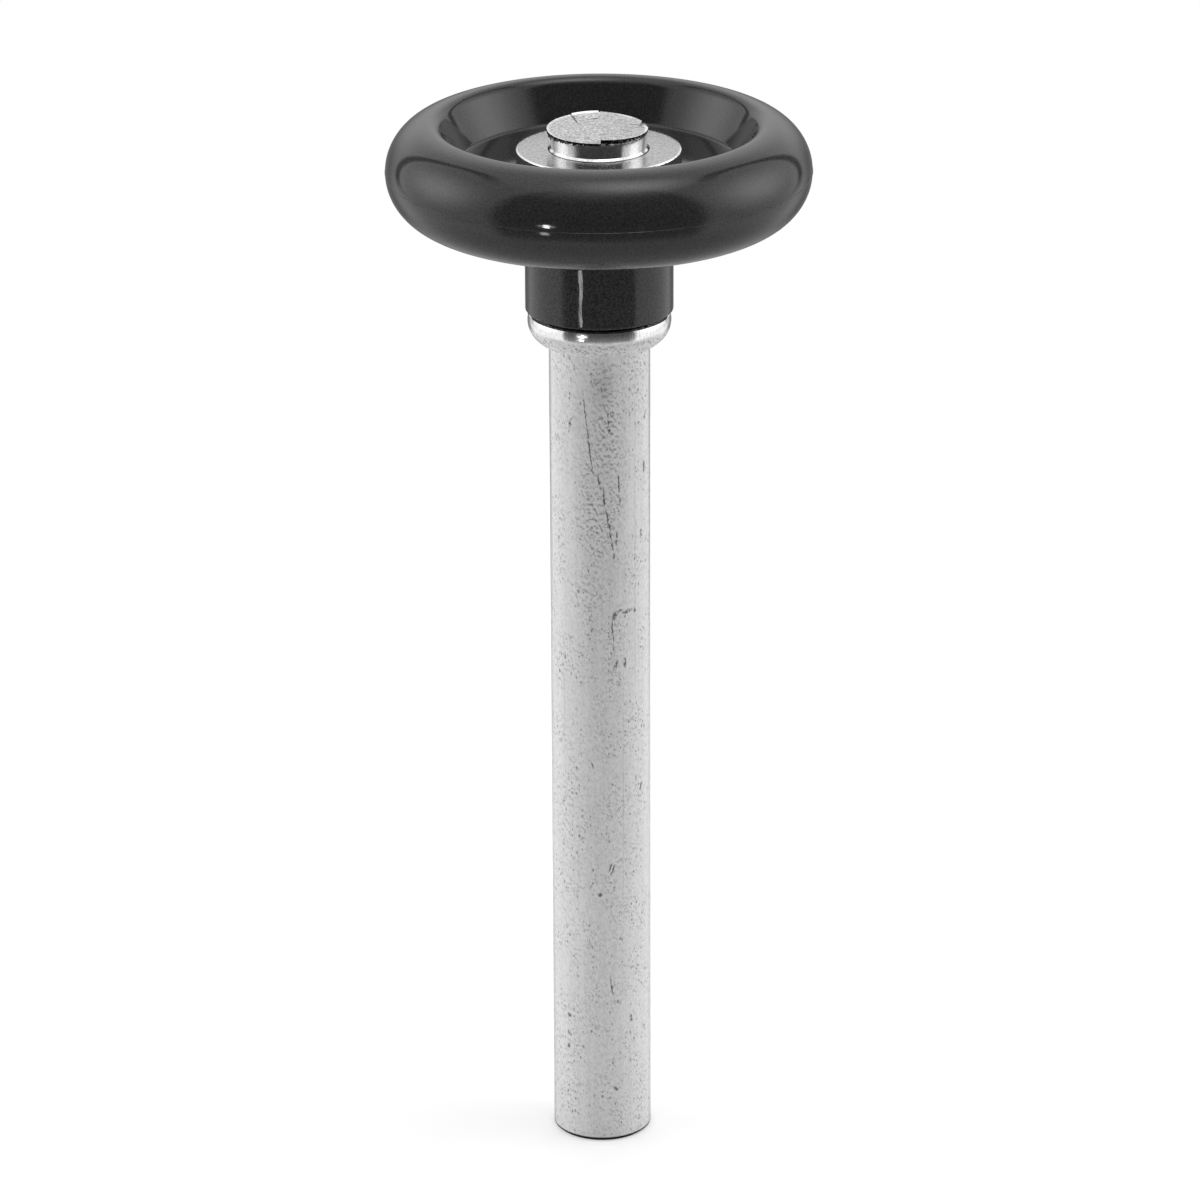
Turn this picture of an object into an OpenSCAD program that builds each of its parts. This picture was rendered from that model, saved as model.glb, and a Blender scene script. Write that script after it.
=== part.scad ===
// Garage door roller: a nylon wheel that turns on a plain steel stem.
// The stem is one cold-headed rod: shank, upset collar, journal and peened head.
// The wheel is one moulding: round tyre, dished web and long hub.
// A flat washer lies loose between the web and the head.
// The origin is the centre of the stem's free end and +Z runs up the stem.

/* [Stem] */
// Diameter of the shank that slides in the door hinge
stem_d = 11.11; // [11:0.01:12]
// Length of the shank from its free end to the collar
stem_l = 93.85; // [40:0.05:180]
// Width of the broken edge round the free end
end_break = 0.25; // [0.1:0.05:0.6]
// Width of the side of the free end that the shear rolled over
roll_w = 2.2; // [1:0.1:3]
// Height that the rolled side rises at the rim
roll_h = 0.22; // [0.1:0.02:0.4]

/* [Collar] */
// Diameter of the collar that stops the stem against the hinge
collar_d = 15.75; // [13:0.05:18]
// Height of the collar
collar_h = 4.2; // [3:0.1:6]
// Radius of the collar's bulging side, which runs round under it
bulge_r = 3; // [2.4:0.1:4]
// Width of the broken edge round the collar's top
collar_break = 0.15; // [0.05:0.05:0.4]

/* [Journal and neck] */
// Diameter of the journal on which the wheel turns
journal_d = 10.85; // [10.7:0.01:11]
// Diameter of the neck under the head
neck_d = 10.4; // [10:0.05:10.6]
// Height of the journal's shoulder above the washer
shoulder_up = 0.06; // [0.02:0.02:0.3]

/* [Head] */
// Diameter of the spread disc at the top of the head
head_d = 10.95; // [10.7:0.05:12]
// Height of the head above the washer, at the tear line
head_h = 2.4; // [2.2:0.1:4]
// Thickness of the disc below the lower half of the sheared face
disc_t = 0.3; // [0.25:0.05:0.7]
// Radius of the flare from the neck to the disc
flare_r = 0.3; // [0.2:0.05:1]
// How far the shear pushed the disc off the stem's axis
head_shift = 0.15; // [0:0.05:0.3]
// Slope of the left half of the sheared face, rising to the back, in degrees
left_slope = 1.8; // [0:0.1:2.5]
// Slope of the right half of the sheared face, falling to the side, in degrees
right_slope = 2.9; // [0:0.1:3.5]
// Step up from the left half to the right half at the tear line
tear_step = 0.24; // [0.1:0.02:0.3]
// Rise of the torn flake at the back of the left half
flake_up = 0.14; // [0.05:0.01:0.2]
// Depth of the nick at the right rim of the face
nick_t = 0.12; // [0.05:0.01:0.2]

/* [Wheel] */
// Diameter over the tread
wheel_d = 46.26; // [42:0.02:64]
// Thickness of the full-round tyre
tyre_t = 11.06; // [10:0.02:13]
// Radial width of the tyre from the tread to the foot of its inner wall
rim_w = 8.13; // [7.8:0.01:9]
// Slope of the dish and recess walls, in degrees from the axis
wall_slope = 27.5; // [10:0.5:40]
// Radius between the top of the tyre and the inner wall
rim_r = 1.5; // [0.6:0.1:2]
// Radius at the foot of the inner wall
foot_r = 0.6; // [0.2:0.1:1.5]
// Height of the dish floor above the middle of the tyre
floor_up = 0.8; // [-0.5:0.1:1.5]
// Thickness of the web under the dish floor
web_t = 3.4; // [2:0.1:4.5]

/* [Hub] */
// Diameter of the hub
hub_d = 16.2; // [14:0.1:20]
// Length of the hub below the middle of the tyre
hub_l = 16.3; // [10:0.1:30]
// Radius round the free edge of the hub
hub_edge_r = 0.5; // [0.2:0.1:0.9]
// Radius where the hub meets the web
hub_root_r = 1; // [0.4:0.1:1.5]
// Chamfer at both ends of the bore
bore_chamfer = 0.3; // [0.1:0.1:0.6]

/* [Washer] */
// Diameter of the washer
washer_d = 18; // [16:0.1:22]
// Thickness of the washer
washer_t = 1.5; // [1:0.1:2]
// Edge radius left by the punch on the washer's upper side
washer_edge_r = 0.15; // [0.05:0.05:0.4]

/* [Fits] */
// Radial clearance between the journal and the wheel's bore
bore_clearance = 0.06; // [0.02:0.01:0.1]
// Radial clearance between the journal and the washer's hole
washer_clearance = 0.09; // [0.05:0.01:0.15]
// End play at each face of the wheel
end_play = 0.1; // [0.05:0.01:0.3]

/* [Hidden] */
$fn = 128;
far = 40;
// Each rounding circle passes its tangent by this much, so that outlines cross cleanly
lap = 0.0005;

// Radii
stem_r = stem_d / 2;
collar_r = collar_d / 2;
journal_r = journal_d / 2;
neck_r = neck_d / 2;
head_r = head_d / 2;
hub_r = hub_d / 2;
bore_r = journal_r + bore_clearance;
washer_hole_r = journal_r + washer_clearance;
tread_r = tyre_t / 2;
tyre_r = wheel_d / 2 - tread_r;
foot_x = wheel_d / 2 - rim_w;
shoulder_w = journal_r - neck_r;
bulge_x = collar_r - bulge_r;
bulge_up = min(bulge_r, collar_h);
collar_edge_x = bulge_x + sqrt(bulge_r * bulge_r - (collar_h - bulge_up) * (collar_h - bulge_up));

// Heights along the stem
collar_top_z = stem_l + collar_h;
hub_end_z = collar_top_z + end_play;
mid_z = hub_end_z + hub_l;
floor_z = mid_z + floor_up;
washer_z = floor_z + end_play;
washer_top_z = washer_z + washer_t;
shoulder_z = washer_top_z + shoulder_up;
face_z = washer_top_z + head_h;
flare_z = face_z - tear_step / 2 - disc_t - flare_r;

// Lines across the sheared face, seen from above
tear_x = 0.2;
flake = [[-3.5, 7], [-2.4, 2.3], [0, 3.4], [0, 7]];
nick = [[3.6, 0.6], [4.5, 0.9], [4.7, 3], [7, 3.4], [7, 0]];
flake_slope = atan(flake_up / 2.5);

// Unit vectors along the inner wall of the tyre, and from it into the tyre
wall_dir = [sin(wall_slope), cos(wall_slope)];
into_tyre = [cos(wall_slope), -sin(wall_slope)];

// Centre of the rim radius, which touches both the tyre's circle and a wall
// that rises from foot_x at the height up above the tyre's middle
function rim_centre(up) =
    let (from_tyre = [foot_x, up] + rim_r * into_tyre - [tyre_r, 0],
         along = from_tyre * wall_dir,
         reach = tread_r - rim_r,
         rise = sqrt(along * along - from_tyre * from_tyre + reach * reach) - along)
    [tyre_r, 0] + from_tyre + rise * wall_dir;

// What rounds off a convex corner at the origin, between edges along -X and +Y
module corner_waste(r) {
    difference() {
        translate([-r, -r]) square(2 * r);
        translate([-r, r]) circle(r + lap);
    }
}

// Corner between two directions from a centre, reaching past the radius r
module wedge(centre, r, from, to) {
    polygon([centre, centre + 2 * r * from, centre + 2 * r * (from + to), centre + 2 * r * to]);
}

// Everything that a dish removes above its floor, which lies at height up
module dish_waste(up) {
    slant = far * tan(wall_slope);
    foot_centre = [foot_x - foot_r * (1 - sin(wall_slope)) / cos(wall_slope), up + foot_r];
    rim = rim_centre(up);
    to_crest = (rim - [tyre_r, 0]) / norm(rim - [tyre_r, 0]);
    difference() {
        polygon([[0, up], [foot_x, up], [foot_x + slant, up + far], [0, up + far]]);
        difference() {
            wedge(foot_centre, foot_r, [0, -1], into_tyre);
            translate(foot_centre) circle(foot_r + lap);
        }
    }
    difference() {
        wedge(rim, rim_r, -into_tyre, to_crest);
        translate(rim) circle(rim_r + lap);
    }
}

// Chamfer of the bore, which opens upwards through a face at zero height
module bore_mouth() {
    polygon([[0, -bore_chamfer], [bore_r, -bore_chamfer], [bore_r + bore_chamfer + 1, 1], [0, 1]]);
}

// Half section of the wheel, with the tyre's middle at zero height
module wheel_section() {
    roof = floor_up - web_t;
    difference() {
        union() {
            difference() {
                union() {
                    translate([tyre_r, 0]) circle(tread_r);
                    translate([0, roof]) square([tyre_r, web_t]);
                }
                dish_waste(floor_up);
                mirror([0, 1]) dish_waste(-roof);
            }
            difference() {
                translate([0, -hub_l]) square([hub_r, hub_l + roof + web_t / 2]);
                translate([hub_r, -hub_l]) corner_waste(hub_edge_r);
            }
            difference() {
                translate([bore_r, roof - hub_root_r])
                    square([hub_r - bore_r + hub_root_r, hub_root_r + web_t / 2]);
                translate([hub_r + hub_root_r, roof - hub_root_r]) circle(hub_root_r + lap);
            }
        }
        translate([0, -hub_l - 1]) square([bore_r, hub_l + floor_up + 2]);
        translate([0, floor_up]) bore_mouth();
        translate([0, -hub_l]) mirror([0, 1]) bore_mouth();
    }
}

// Half section of the collar: its side is one bulge, cut off flat under the hub
module collar_section() {
    difference() {
        intersection() {
            translate([0, stem_l]) square([far, collar_h]);
            union() {
                translate([bulge_x, stem_l + bulge_up]) circle(bulge_r);
                translate([0, stem_l]) square([bulge_x, collar_h]);
            }
        }
        translate([collar_edge_x - collar_break, collar_top_z]) rotate(-45)
            square([far, far]);
    }
}

// Half section of the shank, collar, journal and neck
module stem_section() {
    polygon([[0, 0], [stem_r - end_break, 0], [stem_r, end_break],
             [stem_r, stem_l + collar_h / 2], [0, stem_l + collar_h / 2]]);
    collar_section();
    polygon([[0, stem_l], [journal_r, stem_l], [journal_r, shoulder_z],
             [neck_r, shoulder_z + shoulder_w], [0, shoulder_z + shoulder_w]]);
    square([neck_r, flare_z + flare_r / 2]);
}

// Half section of the spread disc, tall enough for the shear to trim
module disc_section() {
    difference() {
        translate([0, flare_z]) square([head_r, face_z + tear_step + flake_up + 1 - flare_z]);
        translate([neck_r + flare_r, flare_z]) circle(flare_r);
    }
}

// What the shear took off above the left half, which slopes up to the back
module left_waste(slope, up) {
    translate([tear_x, 0, face_z - tear_step / 2 + up]) rotate([slope, 0, 0])
        translate([-far, -far / 2, 0]) cube([far, far, far / 4]);
}

// What it took off above the right half, which slopes down to the side
module right_waste(down) {
    translate([tear_x, 0, face_z + tear_step / 2 - down]) rotate([0, right_slope, 0])
        translate([-tear_x, -far / 2, 0]) cube([far, far, far / 4]);
}

// A column over a plan outline, tall enough to pass through the head
module over(outline) {
    translate([0, 0, flare_z]) linear_extrude(far) polygon(outline);
}

module sheared_waste() {
    difference() {
        left_waste(left_slope, 0);
        over(flake);
    }
    intersection() {
        left_waste(left_slope + flake_slope, -2.5 * tan(flake_slope));
        over(flake);
    }
    right_waste(0);
    intersection() {
        right_waste(nick_t);
        over(nick);
    }
}

// Shank, collar, journal and peened head, headed from one rod
module stem() {
    color("silver") difference() {
        union() {
            rotate_extrude() stem_section();
            translate([-head_shift, 0, 0]) rotate_extrude() disc_section();
        }
        sheared_waste();
        translate([stem_r - roll_w, -far / 2, 0]) rotate([0, -atan(roll_h / roll_w), 0])
            translate([0, 0, -far]) cube([far, far, far]);
    }
}

// Tyre, web and hub in one moulding
module wheel() {
    color("#2b2b2d") translate([0, 0, mid_z]) rotate_extrude() wheel_section();
}

// Flat washer that keeps the wheel on its journal
module washer() {
    color("gainsboro") translate([0, 0, washer_z]) rotate_extrude() difference() {
        translate([washer_hole_r, 0]) square([washer_d / 2 - washer_hole_r, washer_t]);
        translate([washer_d / 2, washer_t]) mirror([0, 1]) corner_waste(washer_edge_r);
    }
}

stem();
wheel();
washer();
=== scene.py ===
"""Garage door roller: a black nylon wheel on a zinc-plated steel stem, standing on its cut end."""

import math
from types import SimpleNamespace

import bpy
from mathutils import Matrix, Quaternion, Vector, noise


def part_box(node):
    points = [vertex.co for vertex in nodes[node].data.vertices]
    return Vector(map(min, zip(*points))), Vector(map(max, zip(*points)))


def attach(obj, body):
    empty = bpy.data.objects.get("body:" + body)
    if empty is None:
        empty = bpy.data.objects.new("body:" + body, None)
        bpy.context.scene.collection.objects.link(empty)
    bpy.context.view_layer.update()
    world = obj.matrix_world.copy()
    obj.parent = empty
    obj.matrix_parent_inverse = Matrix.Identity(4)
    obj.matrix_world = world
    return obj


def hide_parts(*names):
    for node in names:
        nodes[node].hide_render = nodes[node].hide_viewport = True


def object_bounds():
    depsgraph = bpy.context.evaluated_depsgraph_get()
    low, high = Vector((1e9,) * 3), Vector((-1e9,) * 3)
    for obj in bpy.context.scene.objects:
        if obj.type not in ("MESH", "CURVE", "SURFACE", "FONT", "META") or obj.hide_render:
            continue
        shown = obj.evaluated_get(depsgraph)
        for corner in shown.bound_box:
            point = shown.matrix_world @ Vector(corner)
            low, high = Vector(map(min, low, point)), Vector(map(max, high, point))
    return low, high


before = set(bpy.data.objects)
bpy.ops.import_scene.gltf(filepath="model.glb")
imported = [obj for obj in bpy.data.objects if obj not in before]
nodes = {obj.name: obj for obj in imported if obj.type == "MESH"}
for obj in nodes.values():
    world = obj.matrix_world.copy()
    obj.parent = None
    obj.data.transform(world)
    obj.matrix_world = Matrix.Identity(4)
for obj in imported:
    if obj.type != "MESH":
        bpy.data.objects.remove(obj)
cad_low, cad_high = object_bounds()

# Millimetres to metres, and degrees to radians
MM = 0.001
DEG = math.pi / 180


def linear(code):
    """Linear colour of an sRGB hex value."""
    parts = [int(code[i:i + 2], 16) / 255 for i in (1, 3, 5)]
    return [p / 12.92 if p <= 0.04045 else ((p + 0.055) / 1.055) ** 2.4 for p in parts] + [1.0]


def add(tree, kind, inputs=None, out=0, **settings):
    """Adds a node with its settings, sets or links its inputs, and returns one of its outputs."""
    node = tree.nodes.new("ShaderNode" + kind)
    for name, value in settings.items():
        setattr(node, name, value)
    for name, value in (inputs or {}).items():
        if isinstance(value, bpy.types.NodeSocket):
            tree.links.new(value, node.inputs[name])
        else:
            node.inputs[name].default_value = value
    return node.outputs[out] if node.outputs else node


def new_material(name):
    """A new material without nodes, and its node tree."""
    material = bpy.data.materials.new(name)
    material.use_nodes = True
    material.node_tree.nodes.clear()
    return material, material.node_tree


def finish_surface(tree, inputs):
    """One Principled surface with the given inputs, as the material's output."""
    shader = add(tree, "BsdfPrincipled", inputs)
    add(tree, "OutputMaterial", {"Surface": shader})


def millimetres(tree):
    """Place on the object in millimetres."""
    place = add(tree, "TexCoord", out="Object")
    return add(tree, "VectorMath", {0: place, "Scale": 1 / MM}, operation="SCALE")


# ---- Nylon ----

# Patterns in millimetres: orange peel, grain of the mould steel (coarser than the real one, so that it
# shows), lines drawn down the hub, cells that may each hold a scuffed speck, and depth of the relief
PEEL = 1.5
MOULD_GRAIN = 0.2
DRAWN_LINE = 0.45
SCUFF_CELL = 1.7
NYLON_RELIEF = 0.005
# Height under the web where the hub begins, and how far the two finishes blend, in millimetres
HUB_TOP_Z = 111.0
HUB_BLEND = 0.6


def moulded_nylon():
    """Injection-moulded black nylon: glossy with a faint orange peel and pale specks, and drawn lines
    down the hub where it was pulled out of the mould."""
    material, tree = new_material("moulded_black_nylon")
    place = millimetres(tree)
    z = add(tree, "SeparateXYZ", {0: place}, out=2)
    hub = add(tree, "MapRange", {"Value": z, "From Min": HUB_TOP_Z, "From Max": HUB_TOP_Z - HUB_BLEND})

    peel = add(tree, "TexNoise", {"Vector": place, "Scale": 1 / PEEL, "Detail": 2.0})
    grain = add(tree, "TexNoise", {"Vector": place, "Scale": 1 / MOULD_GRAIN, "Detail": 2.0})
    pulled = add(tree, "VectorMath", {0: place, 1: (1.0, 1.0, 0.12)}, operation="MULTIPLY")
    lines = add(tree, "TexNoise", {"Vector": pulled, "Scale": 1 / DRAWN_LINE, "Detail": 2.0})
    lines = add(tree, "Math", {0: lines, 1: hub}, operation="MULTIPLY")

    # Paler and darker grain of the pigment, stronger and a little paler on the hub
    mottle = add(tree, "MapRange", {"Value": grain, "From Min": 0.3, "From Max": 0.7,
                                    "To Min": -0.5, "To Max": 0.5})
    strong = add(tree, "MapRange", {"Value": hub, "To Min": 0.5, "To Max": 1.0})
    depth = add(tree, "MapRange", {"Value": hub, "To Min": 0.38, "To Max": 0.54})
    mottle = add(tree, "Math", {0: mottle, 1: strong, 2: depth}, operation="MULTIPLY_ADD")
    black = add(tree, "Mix", {0: mottle, 6: linear("#181818"), 7: linear("#494949")}, out=2,
                data_type="RGBA")
    # A few scuffed white specks, one at most in each cell
    speck = add(tree, "TexVoronoi", {"Vector": place, "Scale": 1 / SCUFF_CELL})
    few = add(tree, "MapRange", {"Value": speck.node.outputs["Color"], "From Min": 0.8,
                                 "From Max": 1.0, "To Min": -0.05, "To Max": 0.07})
    speck = add(tree, "Math", {0: few, 1: speck}, operation="SUBTRACT")
    speck = add(tree, "MapRange", {"Value": speck, "From Min": 0.0, "From Max": 0.03,
                                   "To Max": 0.5})
    black = add(tree, "Mix", {0: speck, 6: black, 7: linear("#a8a8a8")}, out=2, data_type="RGBA")
    rough = add(tree, "MapRange", {"Value": hub, "To Min": 0.08, "To Max": 0.07})

    # Relief: peel 1 micron, grain half a micron, drawn lines 11 microns
    height = add(tree, "Math", {0: grain, 1: 0.12}, operation="MULTIPLY")
    height = add(tree, "Math", {0: peel, 1: 0.2, 2: height}, operation="MULTIPLY_ADD")
    height = add(tree, "Math", {0: lines, 1: 2.2, 2: height}, operation="MULTIPLY_ADD")
    normal = add(tree, "Bump", {"Strength": 1.0, "Distance": NYLON_RELIEF * MM, "Height": height})
    finish_surface(tree, {"Base Color": black, "Roughness": rough, "IOR": 1.44, "Normal": normal})
    return material


# ---- Zinc plate on the stem ----

STEM_R = 5.555
# Heights in millimetres: broken edge of the free end, collar's underside, crease where the rod was upset,
# lower end of the burnishing, collar's top, and just under the sheared face
EDGE_Z = 0.42
COLLAR_Z = 94.8
UPSET_Z = 95.8
BURNISHED_Z = 97.0
COLLAR_TOP_Z = 98.6
FACE_Z = 118.7
# The head stands this far off the rod's axis, in millimetres
HEAD_SHIFT = 0.15
# Where the shank's far side begins to be painted darker, as painted shade against the brighter light
# behind it, and made more metallic, in radians round from the front
FAR_SHADE_FROM = 1.15
FAR_SHADE_TO = 1.9

# Patterns in millimetres: grain, clouds of more and less wear, streaks along the rod, cells that may each
# hold a pit or a shallow speck, crinkles, and depth of the relief. Grain and crinkles are drawn coarser
# than real plating's, so that they show
ROD_GRAIN = 0.26
CLOUD = 2.6
STREAK = 0.7
PIT_CELL = 0.62
SPECK_CELL = 0.3
CRINKLE = 0.35
PLATING_RELIEF = 0.03
# Middle of the most crinkled patch, as (distance round from the front, height), and its half size
PATCH_AT = (0.2, 82.0)
PATCH_SIZE = (2.6, 14.0)

# Marks on the side of the shank, in millimetres: from and to, as (distance round from the front, height),
# and half width
MARKS = [
    # The long scratch, which breaks up as it runs down
    (-1.8, 90.0, -1.4, 86.4, 0.05),
    (-1.4, 86.4, -1.1, 83.8, 0.07),
    (-1.1, 83.8, -0.8, 81.4, 0.05),
    (-0.2, 81.0, 0.0, 79.9, 0.07),
    (0.4, 79.3, 0.5, 77.7, 0.09),
    (0.7, 76.9, 1.1, 74.9, 0.08),
    (1.1, 74.3, 1.2, 73.7, 0.08),
    (1.3, 73.1, 1.4, 72.6, 0.07),
    (1.5, 71.9, 1.5, 71.5, 0.08),
    # Dashes beside it
    (0.9, 88.2, 0.9, 87.1, 0.06),
    (1.0, 86.6, 1.0, 86.3, 0.10),
    (2.1, 81.3, 2.1, 79.4, 0.07),
    (2.2, 78.2, 2.2, 77.9, 0.12),
    (1.9, 74.4, 1.8, 73.2, 0.08),
    # A hooked dent and what trails from it
    (1.5, 64.5, 1.7, 64.9, 0.20),
    (1.9, 65.1, 2.3, 65.2, 0.14),
    (2.8, 64.9, 3.4, 65.0, 0.17),
    (4.2, 64.9, 4.2, 64.8, 0.13),
    (1.3, 63.9, 1.3, 62.6, 0.07),
    (1.4, 62.3, 1.5, 60.6, 0.05),
    (1.8, 59.0, 1.5, 58.3, 0.13),
    (2.8, 59.3, 2.8, 58.6, 0.12),
    # Single pits and nicks down the rest
    (-3.5, 87.1, -3.6, 86.2, 0.11),
    (6.1, 87.5, 6.0, 87.1, 0.15),
    (5.8, 81.6, 5.8, 80.9, 0.16),
    (5.2, 74.0, 5.2, 73.4, 0.14),
    (-1.2, 47.2, -0.9, 46.6, 0.08),
    (4.3, 44.7, 4.3, 44.6, 0.13),
    (5.2, 43.6, 5.1, 43.1, 0.12),
    (1.0, 41.3, 1.0, 41.3, 0.15),
    (1.1, 34.6, 0.9, 33.9, 0.07),
    (1.4, 34.3, 1.1, 33.5, 0.07),
    (-0.3, 31.0, -0.1, 30.9, 0.15),
    (1.0, 20.2, 1.2, 18.8, 0.08),
    (1.8, 17.6, 1.8, 17.5, 0.10),
    (-4.1, 15.4, -4.0, 15.3, 0.16),
    (-4.1, 13.2, -4.0, 13.1, 0.19),
    (-4.2, 11.5, -4.2, 11.4, 0.14),
    (3.5, 15.4, 3.6, 14.9, 0.12),
    (1.5, 6.6, 1.6, 6.5, 0.18),
    (-3.3, 3.5, -3.3, 3.4, 0.08),
]

# Long faint lines that the drawing die left, and a darker patch just under the collar
FAINT_MARKS = [
    (4.23, 88.0, 4.2, 58.0, 0.06),
    (-4.6, 60.0, -4.5, 42.0, 0.05),
    (2.6, 55.0, 2.5, 30.0, 0.05),
    (0.3, 92.4, 0.3, 90.6, 0.9),
]

# Marks on the sheared face, in millimetres: from and to, as (to the right, to the back), and half width
FACE_MARKS = [
    # The torn side of the flake
    (-2.95, 4.3, -2.45, 2.3, 0.09),
    (-2.45, 2.3, -2.15, 1.2, 0.06),
    # The nick at the right rim
    (3.6, 1.0, 4.5, 1.0, 0.07),
    (4.6, 1.2, 4.75, 2.4, 0.08),
    (3.5, 0.1, 4.9, 0.0, 0.05),
    # Pits
    (1.64, 1.3, 1.7, 1.3, 0.08),
    (2.5, -1.3, 2.6, -1.3, 0.09),
    (3.1, -1.5, 3.3, -1.6, 0.08),
    (-1.6, 1.6, -1.5, 1.6, 0.07),
    (-0.7, 2.2, -0.6, 2.3, 0.07),
    (0.6, -0.6, 0.65, -0.6, 0.07),
]

# Farther than any mark, in half widths
NO_MARK = 9.0
# Marks wander off their line: size of the waves and breadth of their swing, in millimetres
WANDER = 0.5
WANDER_OUT = 0.3


def scratches(tree, across, up, table):
    """Distance to the nearest mark of a table on a flattened surface, in half widths, roughened."""
    flat = add(tree, "CombineXYZ", {0: across, 1: up, 2: 1.0})
    wobble = add(tree, "TexNoise", {"Vector": flat, "Scale": 1 / WANDER, "Detail": 1.0}, out=1)
    wobble = add(tree, "VectorMath", {0: wobble, 1: (0.5, 0.5, 0.5)}, operation="SUBTRACT")
    wobble = add(tree, "VectorMath", {0: wobble, 1: (WANDER_OUT, WANDER_OUT, 0.0)},
                 operation="MULTIPLY")
    flat = add(tree, "VectorMath", {0: flat, 1: wobble}, operation="ADD")
    nearest = NO_MARK
    for s0, z0, s1, z1, half in table:
        # Along and across the mark, 1 at its ends and sides
        reach = math.hypot(s1 - s0, z1 - z0) / 2 + half
        angle = math.atan2(z1 - z0, s1 - s0)
        cos, sin = math.cos(angle), math.sin(angle)
        mid_s, mid_z = (s0 + s1) / 2, (z0 + z1) / 2
        along = add(tree, "VectorMath", {
            0: flat, 1: (cos / reach, sin / reach, -(cos * mid_s + sin * mid_z) / reach)}, out=1,
            operation="DOT_PRODUCT")
        beside = add(tree, "VectorMath", {
            0: flat, 1: (-sin / half, cos / half, (sin * mid_s - cos * mid_z) / half)}, out=1,
            operation="DOT_PRODUCT")
        square = add(tree, "Math", {0: along, 1: along}, operation="MULTIPLY")
        square = add(tree, "Math", {0: beside, 1: beside, 2: square}, operation="MULTIPLY_ADD")
        nearest = add(tree, "Math", {0: nearest, 1: square}, operation="MINIMUM")
    return add(tree, "Math", {0: nearest}, operation="SQRT")


def rod_patterns(tree):
    """Places on the rod, and the patterns that run over all of it."""
    rod = SimpleNamespace(place=millimetres(tree))
    rod.x = add(tree, "SeparateXYZ", {0: rod.place}, out=0)
    rod.y = add(tree, "SeparateXYZ", {0: rod.place}, out=1)
    rod.z = add(tree, "SeparateXYZ", {0: rod.place}, out=2)
    rod.shank = add(tree, "MapRange", {"Value": rod.z, "From Min": BURNISHED_Z + 0.2,
                                       "From Max": BURNISHED_Z - 0.2})
    front = add(tree, "Math", {0: rod.y, 1: -1.0}, operation="MULTIPLY")
    rod.turn = add(tree, "Math", {0: rod.x, 1: front}, operation="ARCTAN2")
    rod.around = add(tree, "Math", {0: rod.turn, 1: STEM_R}, operation="MULTIPLY")

    # Grain of the plating, drawn out a little along the rod
    rod.drawn = add(tree, "VectorMath", {0: rod.place, 1: (1.0, 1.0, 0.6)}, operation="MULTIPLY")
    rod.grain = add(tree, "TexNoise", {"Vector": rod.drawn, "Scale": 1 / ROD_GRAIN, "Detail": 2.0,
                                       "Roughness": 0.65})
    rod.cloud = add(tree, "TexNoise", {"Vector": rod.drawn, "Scale": 1 / CLOUD, "Detail": 2.0})
    streaked = add(tree, "VectorMath", {0: rod.place, 1: (1.0, 1.0, 0.04)}, operation="MULTIPLY")
    rod.streak = add(tree, "TexNoise", {"Vector": streaked, "Scale": 1 / STREAK, "Detail": 2.0})
    # Where the cloudy wear is strong
    rod.crowd = add(tree, "MapRange", {"Value": rod.cloud, "From Min": 0.42, "From Max": 0.66})
    return rod


def pits_and_lips(tree, rod):
    """Pits in the plating, crowded in some places, and the raised bright lip round each."""
    cell = add(tree, "TexVoronoi", {"Vector": rod.drawn, "Scale": 1 / PIT_CELL})
    chance = cell.node.outputs["Color"]
    size = add(tree, "Math", {0: rod.crowd, 1: chance}, operation="MULTIPLY")
    size = add(tree, "Math", {0: size, 1: 0.38}, operation="MULTIPLY")
    inside = add(tree, "Math", {0: size, 1: cell}, operation="SUBTRACT")
    pit = add(tree, "MapRange", {"Value": inside, "From Min": -0.01, "From Max": 0.07})
    lip = add(tree, "MapRange", {"Value": inside, "From Min": -0.16, "From Max": -0.03})
    lip = add(tree, "Math", {0: lip, 1: pit}, operation="SUBTRACT", use_clamp=True)
    pit = add(tree, "Math", {0: pit, 1: rod.shank}, operation="MULTIPLY")
    lip = add(tree, "Math", {0: lip, 1: rod.shank}, operation="MULTIPLY")
    return pit, lip


def shallow_specks(tree, rod):
    """Shallow specks between the pits, about 0.15 mm across."""
    spot = add(tree, "TexVoronoi", {"Vector": rod.drawn, "Scale": 1 / SPECK_CELL})
    some = add(tree, "MapRange", {"Value": spot.node.outputs["Color"], "From Min": 0.3,
                                  "From Max": 1.0, "To Min": -0.1, "To Max": 0.5})
    speck = add(tree, "Math", {0: some, 1: spot}, operation="SUBTRACT")
    speck = add(tree, "MapRange", {"Value": speck, "From Min": -0.05, "From Max": 0.12})
    thick = add(tree, "MapRange", {"Value": rod.cloud, "From Min": 0.3, "From Max": 0.55})
    speck = add(tree, "Math", {0: speck, 1: thick}, operation="MULTIPLY")
    return add(tree, "Math", {0: speck, 1: rod.shank}, operation="MULTIPLY")


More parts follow.
